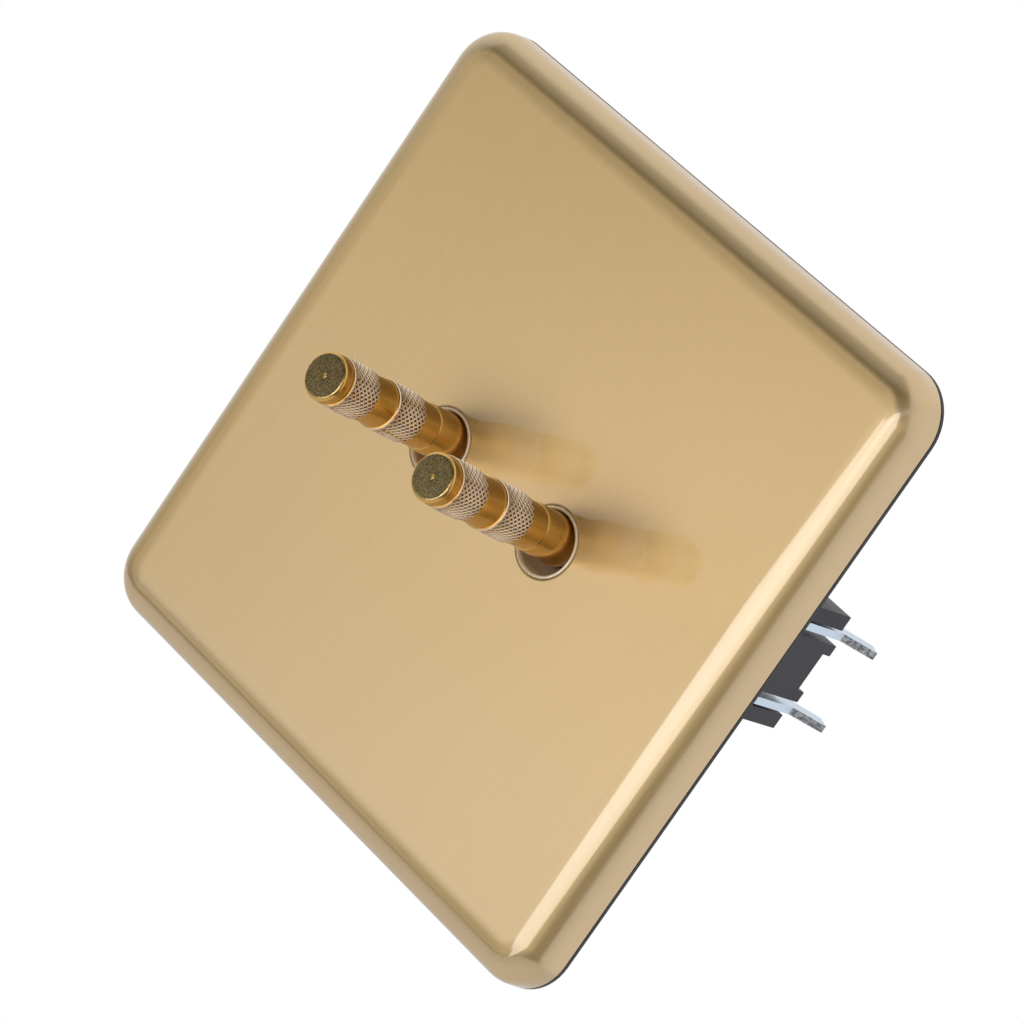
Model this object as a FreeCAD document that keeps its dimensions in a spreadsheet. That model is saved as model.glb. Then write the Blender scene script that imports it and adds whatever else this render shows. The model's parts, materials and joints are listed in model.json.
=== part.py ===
import FreeCAD, Part

import math
import os
import re

import Sketcher
from FreeCAD import Placement, Rotation, Vector

# Two-lever toggle wall switch.  X runs to the right, Z up, and -Y out of the wall.
# The origin is the centre of the plate on the wall plane.

# name: (value in mm or degrees, what it is)
SIZES = {
    # cover plate: a pressed shell with drafted walls and a rolled front edge
    "plate_size": (86.0, "side of the square plate at its rear rim"),
    "plate_front": (5.6, "front face ahead of the wall"),
    "plate_rim": (0.5, "rear rim ahead of the wall"),
    "plate_wall": (1.0, "sheet thickness"),
    "plate_corner": (6.4, "corner radius at the rim"),
    "plate_edge": (3.5, "radius of the rolled front edge"),
    "plate_draft": (4.3, "draft angle of the side walls"),
    "lever_hole": (4.45, "radius of a lever hole"),
    "lever_pitch": (21.0, "distance between the two levers"),
    # black frame behind the cover plate
    "frame_size": (86.0, "side of the thin rear flange"),
    "frame_ring": (82.8, "side of the ring inside the cover"),
    "frame_front": (3.4, "front of the ring ahead of the wall"),
    "ring_corner": (4.8, "corner radius of the ring"),
    "frame_window": (66.0, "side of the central opening"),
    "frame_recess": (74.4, "side of the recess around the yoke"),
    "recess_corner": (3.2, "corner radius of the recess"),
    "frame_screw_at": (34.8, "distance of a frame screw from both axes"),
    "frame_screw_rad": (0.95, "radius of a frame screw"),
    "frame_head_high": (0.9, "height of a frame screw head"),
    "frame_notch_half": (1.5, "half length of the slot in a frame screw"),
    "frame_notch_wide": (0.4, "width of that slot"),
    # steel yoke
    "yoke_size": (74.0, "side of the steel yoke"),
    "yoke_thick": (1.0, "sheet thickness of the yoke"),
    "yoke_corner": (3.0, "corner radius of the yoke"),
    "window_x": (37.6, "width of the yoke window"),
    "window_z": (43.6, "height of the yoke window"),
    "window_corner": (0.4, "corner radius of the window"),
    "fixing_pitch": (60.0, "distance between opposite wall-box screws"),
    "slot_rad": (1.9, "half width of a fixing slot"),
    "slot_length": (7.0, "end-to-end length of a fixing slot"),
    # moulded housing and its lid
    "lid_x": (39.4, "width of the lid flange"),
    "lid_z": (46.2, "height of the lid flange"),
    "lid_front": (2.6, "front of the lid flange ahead of the wall"),
    "lid_plug_x": (37.2, "width of the lid plug"),
    "lid_plug_z": (43.2, "height of the lid plug"),
    "lid_back": (1.4, "rear of the lid plug behind the wall"),
    "case_x": (40.0, "width of the housing"),
    "case_z": (46.0, "height of the housing"),
    "case_depth": (34.0, "depth of the housing behind the wall"),
    "case_wall": (1.3, "wall of the housing"),
    "case_floor": (1.6, "rear wall of the housing"),
    "case_corner": (1.5, "radius of the housing's upright corners"),
    "case_gap": (0.1, "gap between the lid plug and the screw posts"),
    "divider_thick": (1.2, "thickness of the wall between the two switches"),
    "post_size": (4.6, "side of a screw post"),
    "post_depth": (18.0, "rear end of a screw post"),
    "post_blind": (1.5, "solid end of a screw post"),
    "case_screw_x": (16.4, "screw distance from the upright centre line"),
    "case_screw_z": (19.4, "screw distance from the level centre line"),
    "case_screw_rad": (1.2, "radius of a housing screw"),
    "case_head_rad": (1.9, "radius of a housing screw head"),
    "case_head_high": (1.2, "height of a housing screw head"),
    "wire_entry": (1.7, "radius of a wire entry"),
    # claw guide on each side of the housing
    "guide_out": (24.6, "outer face of the claw guide"),
    "guide_low": (6.3, "inner face of an outer guide rib"),
    "guide_high": (8.3, "outer face of an outer guide rib"),
    "guide_depth": (35.5, "rear end of an outer guide rib"),
    "block_half": (4.2, "half height of the middle block"),
    "block_front": (25.0, "front of the middle block"),
    "block_depth": (34.6, "rear of the middle block"),
    "block_lip": (1.9, "how far its two lips stand behind it"),
    "guide_round": (0.6, "rounding on the rear ends of the ribs and lips"),
    "lip_high": (1.5, "height of a lip"),
    # spreading claws
    "claw_half": (6.0, "half height of a claw over its legs"),
    "claw_thick": (1.0, "thickness of a claw leg"),
    "claw_in": (20.4, "inner edge of the claw web"),
    "claw_out": (25.4, "outer edge of the claw web"),
    "claw_web": (14.0, "front face of the claw web"),
    "web_thick": (1.2, "thickness of the claw web"),
    "claw_wide": (4.0, "how far behind the web's face a claw keeps its full width"),
    "claw_narrow": (7.0, "how far behind it the legs reach their own width"),
    "leg_in": (21.8, "inner edge of a claw leg"),
    "knee_y": (36.0, "where the leg bends out"),
    "knee_behind": (1.0, "how much deeper its inner edge bends"),
    "tip_x": (27.3, "outermost point of a claw at rest"),
    "tip_y": (40.2, "depth of that point"),
    "tip_inward": (2.1, "width of the claw's end face"),
    "tip_behind": (1.4, "rise of that end face"),
    "claw_heel": (0.6, "radius of the heel that a claw tips on"),
    "claw_hole": (1.8, "radius of the clearance hole in the web"),
    "claw_screw_x": (22.7, "distance of a claw screw from the centre"),
    "claw_screw_rad": (1.25, "radius of a claw screw"),
    "claw_screw_end": (23.0, "rear end of a claw screw"),
    "claw_head_rad": (2.5, "radius of a claw screw head"),
    "claw_head_high": (1.9, "height of a claw screw head"),
    "nut_size": (4.6, "side of the square claw nut"),
    "nut_thick": (2.4, "thickness of the claw nut"),
    "nut_gap": (0.4, "gap between the web and the nut"),
    "driver_slot": (0.7, "width of a screwdriver slot"),
    "driver_deep": (0.7, "depth of a screwdriver slot"),
    # levers and what they turn on
    "pivot_y": (3.0, "depth of the lever pivot behind the wall"),
    "lever_tilt": (5.1, "tilt of a lever from the plate's normal"),
    "lever_reach": (33.8, "pivot to lever tip"),
    "cap_rad": (2.95, "radius of the flat end of a lever"),
    "grip_rad": (3.2, "radius over the knurls"),
    "waist_rad": (3.0, "radius of the smooth bands"),
    "cap_bevel": (0.4, "length of the bevel around the flat end"),
    "knurl_a_end": (6.9, "rear of the first knurl, from the tip"),
    "waist_end": (11.1, "rear of the smooth band, from the tip"),
    "knurl_b_end": (16.6, "rear of the second knurl, from the tip"),
    "ball_rad": (3.15, "radius of the rounded lever base"),
    "ball_ahead": (7.2, "centre of the lever base ahead of the pivot"),
    "neck_rad": (2.1, "radius of the neck behind the base"),
    "neck_end": (2.4, "rear end of the neck ahead of the pivot"),
    "stud_rad": (1.0, "radius of the lever stud"),
    "stud_deep": (8.0, "length of the stud inside the lever"),
    "stud_gap": (0.4, "gap between the stud and the pivot pin"),
    "pin_rad": (1.0, "radius of the pivot pin"),
    "pin_half": (5.9, "half length of the pivot pin"),
    "run_fit": (0.05, "radial clearance of a running fit"),
    "press_fit": (0.02, "radial clearance of a press fit"),
    "ear_in": (4.2, "inner face of a pivot ear from the lever's middle"),
    "ear_out": (6.2, "outer face of a pivot ear"),
    "ear_half": (2.6, "half height of a pivot ear"),
    "ear_back": (6.0, "rear of a pivot ear"),
    "rocker_half_x": (3.6, "half width of the rocker"),
    "rocker_half_z": (2.8, "half height of the rocker"),
    "rocker_tail": (9.0, "rear of the rocker behind the pivot"),
    "rocker_beside": (0.5, "room in the lid on each side of the rocker"),
    "rocker_above": (1.2, "room in the lid above and below the rocker"),
    "plunger_rad": (1.5, "radius of the plunger"),
    "plunger_reach": (14.0, "pivot to plunger tip"),
    "plunger_in": (7.0, "pivot to the plunger's inner end"),
    "spring_in": (2.6, "pivot to the inner end of the spring"),
    "spring_rad": (1.15, "mean radius of the plunger spring"),
    "spring_wire": (0.25, "wire radius of the plunger spring"),
    "spring_pitch": (1.2, "pitch of the plunger spring"),
    # bushing around the lever base
    "bush_out": (4.35, "radius of the bushing's front collar"),
    "bush_in": (4.1, "bore radius at the front"),
    "bush_front": (5.75, "front of the bushing ahead of the wall"),
    "bush_shoulder": (4.5, "front of its flange ahead of the wall"),
    "bush_flange": (6.0, "radius of the flange"),
    "bush_straight": (3.6, "where the bore starts to narrow"),
    "bush_seat": (2.7, "bore radius at the rear"),
    "bush_throat": (0.6, "length of the narrow rear of the bore"),
    "bush_back": (0.6, "rear of the bushing ahead of the wall"),
    "bush_body": (5.2, "radius of the threaded part"),
    # contact rocker and fixed contacts
    "seesaw_y": (17.8, "depth of the contact rocker's axis"),
    "seesaw_tilt": (6.0, "tilt of the contact rocker at rest"),
    "seesaw_half": (7.4, "half length of the contact rocker"),
    "seesaw_width": (5.0, "width of the contact rocker"),
    "seesaw_thick": (0.8, "thickness of the contact rocker"),
    "seesaw_rib": (0.75, "radius of the rib that it rolls on"),
    "contact_at": (6.0, "distance of a contact from the axis"),
    "contact_rad": (1.2, "radius of a contact"),
    "contact_high": (0.8, "height of a contact"),
    "strike_y": (19.9, "front face of the fixed contacts"),
    "strip_thick": (0.8, "thickness of the terminal strips"),
    "strip_width": (5.0, "width of the terminal strips"),
    "strip_past": (1.5, "how far a strip reaches past its contact's middle"),
    "knife_y": (18.6, "front of the common terminal"),
    "travel_at": (13.4, "level of the traveller clamps"),
    "clamp_front": (24.0, "front of the wire clamps"),
    "clamp_back": (32.0, "rear of the wire clamps"),
    "clamp_size": (6.0, "side of a wire clamp"),
    "clamp_bore": (1.7, "radius of the wire bore in a clamp"),
    "clamp_face": (1.0, "front wall of a wire clamp"),
    "clamp_screw_rad": (1.25, "radius of a clamp screw"),
    "clamp_screw_at": (28.5, "depth of the clamp screws"),
    "clamp_screw_out": (1.0, "how far a clamp screw stands out of its clamp"),
    # working allowances, which leave no trace in the finished shapes
    "overrun": (1.0, "how far a cutting tool runs past the solid"),
    "overlap": (0.2, "how far a solid reaches into the one it is fused to"),
}

SIDES = {"left": -1, "right": 1}
LINEAR_TOLERANCE = 1e-4

doc = FreeCAD.newDocument("toggle_wall_switch")
sheet = doc.addObject("Spreadsheet::Sheet", "Dims")
for row, (alias, (value, note)) in enumerate(SIZES.items(), start=1):
    sheet.set(f"A{row}", alias)
    sheet.set(f"B{row}", str(value))
    sheet.set(f"C{row}", note)
    sheet.setAlias(f"B{row}", alias)
doc.recompute()

parts = []


def scoped(text):
    """An expression text with each size's name pointed at the sheet."""
    return re.sub(r"[a-z][a-z_]*", lambda m: f"Dims.{m[0]}" if m[0] in SIZES else m[0], str(text))


def size(alias):
    return sheet.get(alias)


def bind(obj, prop, text):
    obj.setExpression(prop, scoped(text))


def place(obj, x="0", y="0", z="0"):
    for axis, text in zip("xyz", (x, y, z)):
        bind(obj, f"Placement.Base.{axis}", text)


def keep(obj, node):
    """Name a finished sub-part after its node."""
    obj.Label = node
    parts.append(obj)
    return obj


# ---- building blocks -------------------------------------------------------------

def block(x, y, z):
    """A box from its low and high expressions along each axis."""
    box = doc.addObject("Part::Box", "Block")
    place(box, x[0], y[0], z[0])
    for prop, (low, high) in (("Length", x), ("Width", y), ("Height", z)):
        bind(box, prop, f"({high}) - ({low})")
    return box


TURN_TO = {
    "x": Rotation(Vector(0, 1, 0), 90),
    "y": Rotation(Vector(1, 0, 0), -90),
    "z": Rotation(),
}


def along(obj, axis, start, across):
    """Lay a round primitive along an axis, from start, at its two other coordinates."""
    obj.Placement = Placement(Vector(), TURN_TO[axis])
    at = {"x": (start, *across), "y": (across[0], start, across[1]), "z": (*across, start)}[axis]
    place(obj, *at)
    return obj


def rod(radius, axis, start, end, across=("0", "0")):
    cylinder = doc.addObject("Part::Cylinder", "Rod")
    bind(cylinder, "Radius", radius)
    bind(cylinder, "Height", f"({end}) - ({start})")
    return along(cylinder, axis, start, across)


def taper(first, last, axis, start, end, across=("0", "0")):
    cone = doc.addObject("Part::Cone", "Taper")
    bind(cone, "Radius1", first)
    bind(cone, "Radius2", last)
    bind(cone, "Height", f"({end}) - ({start})")
    return along(cone, axis, start, across)


def ball(radius, x="0", y="0", z="0"):
    sphere = doc.addObject("Part::Sphere", "Ball")
    bind(sphere, "Radius", radius)
    place(sphere, x, y, z)
    return sphere


def soften(base, radius, wanted):
    """Round the edges of a solid that a test picks out."""
    doc.recompute()
    rounded = doc.addObject("Part::Fillet", "Soft")
    rounded.Base = base
    span = size(radius)
    rounded.Edges = [(n, span, span) for n, edge in enumerate(base.Shape.Edges, start=1) if wanted(edge)]
    return rounded


def runs_back(edge):
    """A test for straight edges along Y."""
    box = edge.BoundBox
    return box.XLength < LINEAR_TOLERANCE and box.ZLength < LINEAR_TOLERANCE


def rear_end_outside(depth):
    """A test for the edges of a rear end at one depth that stand clear of the housing's side."""
    at_depth = edge_at_depth(depth)

    def wanted(edge):
        box = edge.BoundBox
        return at_depth(edge) and max(abs(box.XMin), abs(box.XMax)) > size("case_x") / 2
    return wanted


def fuse(*shapes):
    union = doc.addObject("Part::MultiFuse", "Union")
    union.Shapes = list(shapes)
    union.Refine = True
    return union


def group(*shapes):
    """Separate solids kept together in one sub-part."""
    compound = doc.addObject("Part::Compound", "Group")
    compound.Links = list(shapes)
    return compound


def cut(base, *tools):
    result = doc.addObject("Part::Cut", "Cut")
    result.Base = base
    result.Tool = tools[0] if len(tools) == 1 else fuse(*tools)
    result.Refine = True
    return result


def lean(obj, sign, y, angle):
    """Turn a sub-part about X through the origin and carry it to its pivot."""
    holder = obj if obj.TypeId == "Part::Compound" else group(obj)
    direction = -1 if angle == "lever_tilt" else 1
    holder.Placement = Placement(Vector(), Rotation(Vector(direction, 0, 0), 1))
    bind(holder, "Placement.Rotation.Angle", angle)
    place(holder, f"{sign} * lever_pitch / 2", y, "0")
    return holder


# ---- sketches --------------------------------------------------------------------

def new_body(name):
    return doc.addObject("PartDesign::Body", name)


def sketch_on(body, role, ahead="0"):
    """A sketch on one of the body's origin planes, moved along that plane's normal."""
    sketch = body.newObject("Sketcher::SketchObject", "Outline")
    plane = next(p for p in body.Origin.OriginFeatures if p.Role == role)
    sketch.AttachmentSupport = [(plane, "")]
    sketch.MapMode = "FlatFace"
    bind(sketch, "AttachmentOffset.Base.z", ahead)
    return sketch


def pin_point(sketch, element, point, x, y):
    """Hold a point of the sketch at two bound coordinates."""
    for kind, text in (("DistanceX", x), ("DistanceY", y)):
        value = evaluate(text)
        index = sketch.addConstraint(Sketcher.Constraint(kind, -1, 1, element, point, value))
        bind(sketch, f"Constraints[{index}]", text)


def evaluate(text):
    """The present value of an expression, to start the sketch close to its solution."""
    return sheet.evalExpression(text)


def arc(cx, cy, radius, start, end):
    circle = Part.Circle(Vector(cx, cy, 0), Vector(0, 0, 1), radius)
    return Part.ArcOfCircle(circle, math.radians(start), math.radians(end))


def arcs_and_lines(sketch, centres, radius, sweep):
    """Close a ring of equal arcs, turning anticlockwise, with tangent lines."""
    first = sketch.GeometryCount
    count = len(centres)
    rad = evaluate(radius)
    spans = []
    for number, (x, y) in enumerate(centres):
        start = number * sweep + (-90 if count == 2 else 0)
        spans.append(arc(evaluate(x), evaluate(y), rad, start, start + sweep))
        sketch.addGeometry(spans[-1], False)
    for number in range(count):
        line = Part.LineSegment(spans[number].EndPoint, spans[(number + 1) % count].StartPoint)
        sketch.addGeometry(line, False)
    for number, (x, y) in enumerate(centres):
        pin_point(sketch, first + number, 3, x, y)
        line = first + count + number
        follower = first + (number + 1) % count
        sketch.addConstraint(Sketcher.Constraint("Tangent", first + number, 2, line, 1))
        sketch.addConstraint(Sketcher.Constraint("Tangent", line, 2, follower, 1))
        if number:
            sketch.addConstraint(Sketcher.Constraint("Equal", first, first + number))
    index = sketch.addConstraint(Sketcher.Constraint("Radius", first, rad))
    bind(sketch, f"Constraints[{index}]", radius)


def rounded_square(sketch, side, radius, other=None):
    half_x, half_y = f"(({side}) / 2 - ({radius}))", f"(({other or side}) / 2 - ({radius}))"
    centres = [(half_x, half_y), (f"-{half_x}", half_y),
               (f"-{half_x}", f"-{half_y}"), (half_x, f"-{half_y}")]
    arcs_and_lines(sketch, centres, radius, 90)


def circle_at(sketch, radius, x, y):
    index = sketch.addGeometry(Part.Circle(Vector(evaluate(x), evaluate(y), 0), Vector(0, 0, 1),
                                           evaluate(radius)), False)
    pin_point(sketch, index, 3, x, y)
    number = sketch.addConstraint(Sketcher.Constraint("Radius", index, evaluate(radius)))
    bind(sketch, f"Constraints[{number}]", radius)


def level_slot(sketch, radius, length, x, y):
    """A slot along the sketch's X axis."""
    reach = f"(({length}) / 2 - ({radius}))"
    arcs_and_lines(sketch, [(f"{x} + {reach}", y), (f"{x} - {reach}", y)], radius, 180)


def upright_slot(sketch, radius, length, x, y):
    """A slot along the sketch's Y axis, as two round ends and two straight sides."""
    reach = f"(({length}) / 2 - ({radius}))"
    first = sketch.GeometryCount
    rad = evaluate(radius)
    ends = [(x, f"{y} + {reach}", 0), (x, f"{y} - {reach}", 180)]
    spans = [arc(evaluate(cx), evaluate(cy), rad, turn, turn + 180) for cx, cy, turn in ends]
    for span in spans:
        sketch.addGeometry(span, False)
    for number in range(2):
        sketch.addGeometry(Part.LineSegment(spans[number].EndPoint, spans[1 - number].StartPoint), False)
    for number, (cx, cy, _) in enumerate(ends):
        pin_point(sketch, first + number, 3, cx, cy)
        sketch.addConstraint(Sketcher.Constraint("Tangent", first + number, 2, first + 2 + number, 1))
        sketch.addConstraint(Sketcher.Constraint("Tangent", first + 2 + number, 2, first + 1 - number, 1))
    sketch.addConstraint(Sketcher.Constraint("Equal", first, first + 1))
    index = sketch.addConstraint(Sketcher.Constraint("Radius", first, rad))
    bind(sketch, f"Constraints[{index}]", radius)


def polygon(sketch, points):
    """A closed outline whose corners are bound to the sheet."""
    corners = [Vector(evaluate(x), evaluate(y), 0) for x, y in points]
    first = sketch.GeometryCount
    count = len(points)
    for number in range(count):
        sketch.addGeometry(Part.LineSegment(corners[number], corners[(number + 1) % count]), False)
    for number, (x, y) in enumerate(points):
        follower = first + (number + 1) % count
        sketch.addConstraint(Sketcher.Constraint("Coincident", first + number, 2, follower, 1))
        pin_point(sketch, first + number, 1, x, y)


def pad(body, sketch, length, taper_angle="0", both_ways=False):
    feature = body.newObject("PartDesign::Pad", "Pad")
    feature.Profile = sketch
    feature.Midplane = both_ways
    bind(feature, "Length", length)
    bind(feature, "TaperAngle", taper_angle)
    body.Tip = feature
    doc.recompute()


def pocket(body, sketch, length=None, taper_angle="0", reverse=False, both_ways=False):
    """Cut a sketch out of the body and check that it took material away."""
    before = body.Shape.Volume
    feature = body.newObject("PartDesign::Pocket", "Pocket")
    feature.Profile = sketch
    feature.Reversed = reverse
    feature.Midplane = both_ways
    if length is None:
        feature.Type = "ThroughAll"
        feature.Midplane = True
    else:
        bind(feature, "Length", length)
        bind(feature, "TaperAngle", taper_angle)
    body.Tip = feature
    doc.recompute()
    if body.Shape.Volume > before - LINEAR_TOLERANCE:
        raise RuntimeError(f"{body.Label}: a pocket removed nothing")


def round_edges(body, radius, wanted):
    """Fillet the edges of the body's tip that a test picks out."""
    base = body.Tip
    names = [f"Edge{n}" for n, edge in enumerate(base.Shape.Edges, start=1) if wanted(edge)]
    fillet = body.newObject("PartDesign::Fillet", "Round")
    fillet.Base = (base, names)
    bind(fillet, "Radius", radius)
    body.Tip = fillet
    doc.recompute()


def edge_at_depth(y, inside=None):
    """A test for edges that lie flat at one depth, within a half width if given."""
    def wanted(edge):
        box = edge.BoundBox
        flat = abs(box.YMin - y) < LINEAR_TOLERANCE and abs(box.YMax - y) < LINEAR_TOLERANCE
        reach = max(abs(box.XMin), abs(box.XMax), abs(box.ZMin), abs(box.ZMax))
        return flat and (inside is None or reach < inside)
    return wanted


def upright_edge_at(x, y):
    """A test for the straight edge along Z through one point of the XY plane."""
    def wanted(edge):
        box = edge.BoundBox
        ends = (box.XMin - x, box.XMax - x, box.YMin - y, box.YMax - y)
        return all(abs(end) < LINEAR_TOLERANCE for end in ends)
    return wanted


# ---- the plate, its frame and the yoke -------------------------------------------

def make_cover_plate():
    """A square shell: drafted walls, rolled front edge, open back and two lever holes."""
    body = new_body("CoverPlate")
    rim = sketch_on(body, "XZ_Plane", "plate_rim")
    rounded_square(rim, "plate_size", "plate_corner")
    doc.recompute()
    pad(body, rim, "plate_front - plate_rim", "-plate_draft")
    round_edges(body, "plate_edge", edge_at_depth(-size("plate_front")))
    inside = sketch_on(body, "XZ_Plane", "plate_rim")
    rounded_square(inside, "plate_size - 2 * plate_wall", "plate_corner - plate_wall")
    doc.recompute()
    pocket(body, inside, "plate_front - plate_rim - plate_wall", "-plate_draft", reverse=True)
    floor = -(size("plate_front") - size("plate_wall"))
    round_edges(body, "plate_edge - plate_wall", edge_at_depth(floor))
    holes = sketch_on(body, "XZ_Plane")
    for sign in SIDES.values():
        circle_at(holes, "lever_hole", f"{sign} * lever_pitch / 2", "0")
    doc.recompute()
    pocket(body, holes)
    return keep(body, "cover_plate")


def corner_positions(across, up):
    return [(f"{a} * {across}", f"{b} * {up}") for a in (-1, 1) for b in (-1, 1)]


def frame_screw_positions():
    return corner_positions("frame_screw_at", "frame_screw_at")


def make_inner_frame():
    """A moulded ring that fills the cover's back and shows as a thin dark line at the wall."""
    body = new_body("InnerFrame")
    flange = sketch_on(body, "XZ_Plane")
    rounded_square(flange, "frame_size", "plate_corner")
    doc.recompute()
    pad(body, flange, "plate_rim")
    ring = sketch_on(body, "XZ_Plane")
    rounded_square(ring, "frame_ring", "ring_corner")
    doc.recompute()
    pad(body, ring, "frame_front")
    window = sketch_on(body, "XZ_Plane")
    rounded_square(window, "frame_window", "yoke_corner")
    doc.recompute()
    pocket(body, window)
    recess = sketch_on(body, "XZ_Plane")
    rounded_square(recess, "frame_recess", "recess_corner")
    doc.recompute()
    pocket(body, recess, "yoke_thick", reverse=True)
    holes = sketch_on(body, "XZ_Plane")
    for x, z in frame_screw_positions():
        circle_at(holes, "frame_screw_rad + run_fit", x, z)
    doc.recompute()
    pocket(body, holes)
    return keep(body, "inner_frame")


def make_frame_screws():
    """Four small screws that hold the frame to the yoke, in its corners."""
    screws = []
    for x, z in frame_screw_positions():
        shank = rod("frame_screw_rad", "y", "-frame_front", "0", (x, z))
        head = rod("2 * frame_screw_rad", "y", "-frame_front - frame_head_high", "-frame_front", (x, z))
        notch = block((f"{x} - frame_notch_half", f"{x} + frame_notch_half"),
                      ("-frame_front - frame_head_high - overrun", "-frame_front - frame_head_high / 2"),
                      (f"{z} - frame_notch_wide / 2", f"{z} + frame_notch_wide / 2"))
        screws.append(cut(fuse(shank, head), notch))
    return keep(group(*screws), "frame_screws")


def make_yoke():
    """A square steel plate: a window for the mechanism, slots for the wall box, screw holes."""
    body = new_body("Yoke")
    outline = sketch_on(body, "XZ_Plane")
    rounded_square(outline, "yoke_size", "yoke_corner")
    doc.recompute()
    pad(body, outline, "yoke_thick")
    window = sketch_on(body, "XZ_Plane")
    rounded_square(window, "window_x", "window_corner", "window_z")
    doc.recompute()
    pocket(body, window)
    slots = sketch_on(body, "XZ_Plane")
    for sign in SIDES.values():
        level_slot(slots, "slot_rad", "slot_length", f"{sign} * fixing_pitch / 2", "0")
        upright_slot(slots, "slot_rad", "slot_length", "0", f"{sign} * fixing_pitch / 2")
    doc.recompute()
    pocket(body, slots)
    holes = sketch_on(body, "XZ_Plane")
    for sign in SIDES.values():
        circle_at(holes, "claw_screw_rad + run_fit", f"{sign} * claw_screw_x", "0")
    for x, z in frame_screw_positions():
        circle_at(holes, "frame_screw_rad + run_fit", x, z)
    doc.recompute()
    pocket(body, holes)
    return keep(body, "yoke")


# ---- housing ---------------------------------------------------------------------

def case_screw_positions():
    return corner_positions("case_screw_x", "case_screw_z")


def make_housing_cover():
    """The lid of the mechanism, with the seats of the bushings and two ears for each pivot pin."""
    flange = block(("-lid_x / 2", "lid_x / 2"), ("-lid_front", "-yoke_thick"),
                   ("-lid_z / 2", "lid_z / 2"))
    plug = block(("-lid_plug_x / 2", "lid_plug_x / 2"), ("-yoke_thick", "lid_back"),
                 ("-lid_plug_z / 2", "lid_plug_z / 2"))
    solids = [flange, plug]
    tools = []
    for sign in SIDES.values():
        middle = f"{sign} * lever_pitch / 2"
        for low, high in (("-ear_out", "-ear_in"), ("ear_in", "ear_out")):
            solids.append(block((f"{middle} + {low}", f"{middle} + {high}"),
                                ("lid_back - overlap", "ear_back"), ("-ear_half", "ear_half")))
        tools.append(rod("bush_body + press_fit", "y", "-lid_front - overrun", "-bush_back", (middle, "0")))
        tools.append(block((f"{middle} - rocker_half_x - rocker_beside",
                            f"{middle} + rocker_half_x + rocker_beside"),
                           ("-lid_front - overrun", "lid_back + overrun"),
                           ("-rocker_half_z - rocker_above", "rocker_half_z + rocker_above")))
        tools.append(rod("pin_rad + press_fit", "x", f"{middle} - ear_out - overrun",
                         f"{middle} + ear_out + overrun", ("pivot_y", "0")))
    for at in case_screw_positions():
        tools.append(rod("case_screw_rad + run_fit", "y", "-lid_front - overrun", "lid_back + overrun", at))
    return keep(cut(fuse(*solids), *tools), "housing_cover")


def guide_solids(sign):
    """The ribs and the middle block that the claw legs run between, on one side."""
    def across(low, high):
        return (low, high) if sign > 0 else (f"-({high})", f"-({low})")
    span = across("case_x / 2 - overlap", "guide_out")
    rib_end = rear_end_outside(size("guide_depth"))
    ribs = [
        soften(block(span, ("0", "guide_depth"), ("guide_low", "guide_high")), "guide_round", rib_end),
        soften(block(span, ("0", "guide_depth"), ("-guide_high", "-guide_low")), "guide_round", rib_end),
    ]
    middle = block(span, ("block_front", "block_depth"), ("-block_half", "block_half"))
    lip_end = "block_depth + block_lip"
    hook = rear_end_outside(size("block_depth") + size("block_lip"))
    lips = [
        soften(block(span, ("block_depth - overlap", lip_end), ("block_half - lip_high", "block_half")),
               "guide_round", hook),
        soften(block(span, ("block_depth - overlap", lip_end), ("-block_half", "lip_high - block_half")),
               "guide_round", hook),
    ]
    return [*ribs, middle, *lips]


def wire_entries(sign):
    """Level and place of the three wire entries of one switch."""
    middle = f"{sign} * lever_pitch / 2"
    return [(middle, "0"), (middle, "travel_at"), (middle, "-travel_at")]


def make_rear_housing():
    """A deep box with a divider, screw posts, wire entries and a claw guide on each side."""
    case = block(("-case_x / 2", "case_x / 2"), ("0", "case_depth"), ("-case_z / 2", "case_z / 2"))
    outside = soften(case, "case_corner", runs_back)
    guides = [solid for sign in SIDES.values() for solid in guide_solids(sign)]
    low_x, high_x = "case_wall - case_x / 2", "case_x / 2 - case_wall"
    low_z, high_z = "case_wall - case_z / 2", "case_z / 2 - case_wall"
    cavity = block((low_x, high_x), ("-overrun", "case_depth - case_floor"), (low_z, high_z))
    shell = cut(fuse(outside, *guides), cavity)
    divider = block(("-divider_thick / 2", "divider_thick / 2"),
                    ("lid_back + 2 * case_gap", "case_depth - case_floor + overlap"),
                    (f"{low_z} - overlap", f"{high_z} + overlap"))
    posts = []
    for x, z in case_screw_positions():
        posts.append(block((f"{x} - post_size / 2", f"{x} + post_size / 2"),
                           ("lid_back + case_gap", "post_depth"),
                           (f"{z} - post_size / 2", f"{z} + post_size / 2")))
    tools = [rod("case_screw_rad + run_fit", "y", "0", "post_depth - post_blind", at)
             for at in case_screw_positions()]
    for sign in SIDES.values():
        for at in wire_entries(sign):
            tools.append(rod("wire_entry", "y", "case_depth - case_floor - overrun",
                             "case_depth + overrun", at))
    return keep(cut(fuse(shell, divider, *posts), *tools), "rear_housing")


def slotted_screw(radius, head_rad, head_high, end, seat, x, z):
    """A cheese-head screw along Y, its head on the seat and its slot across X."""
    shank = rod(radius, "y", seat, end, (x, z))
    head = rod(head_rad, "y", f"{seat} - {head_high}", seat, (x, z))
    notch = block((f"{x} - {head_rad} - overrun", f"{x} + {head_rad} + overrun"),
                  (f"{seat} - {head_high} - overrun", f"{seat} - {head_high} + driver_deep"),
                  (f"{z} - driver_slot / 2", f"{z} + driver_slot / 2"))
    return cut(fuse(shank, head), notch)


def make_housing_screws():
    """Four screws that clamp the yoke between the lid and the housing."""
    screws = [slotted_screw("case_screw_rad", "case_head_rad", "case_head_high",
                            "post_depth - 2 * post_blind", "-lid_front", x, z)
              for x, z in case_screw_positions()]
    return keep(group(*screws), "housing_screws")


# ---- spreading claws -------------------------------------------------------------

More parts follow.
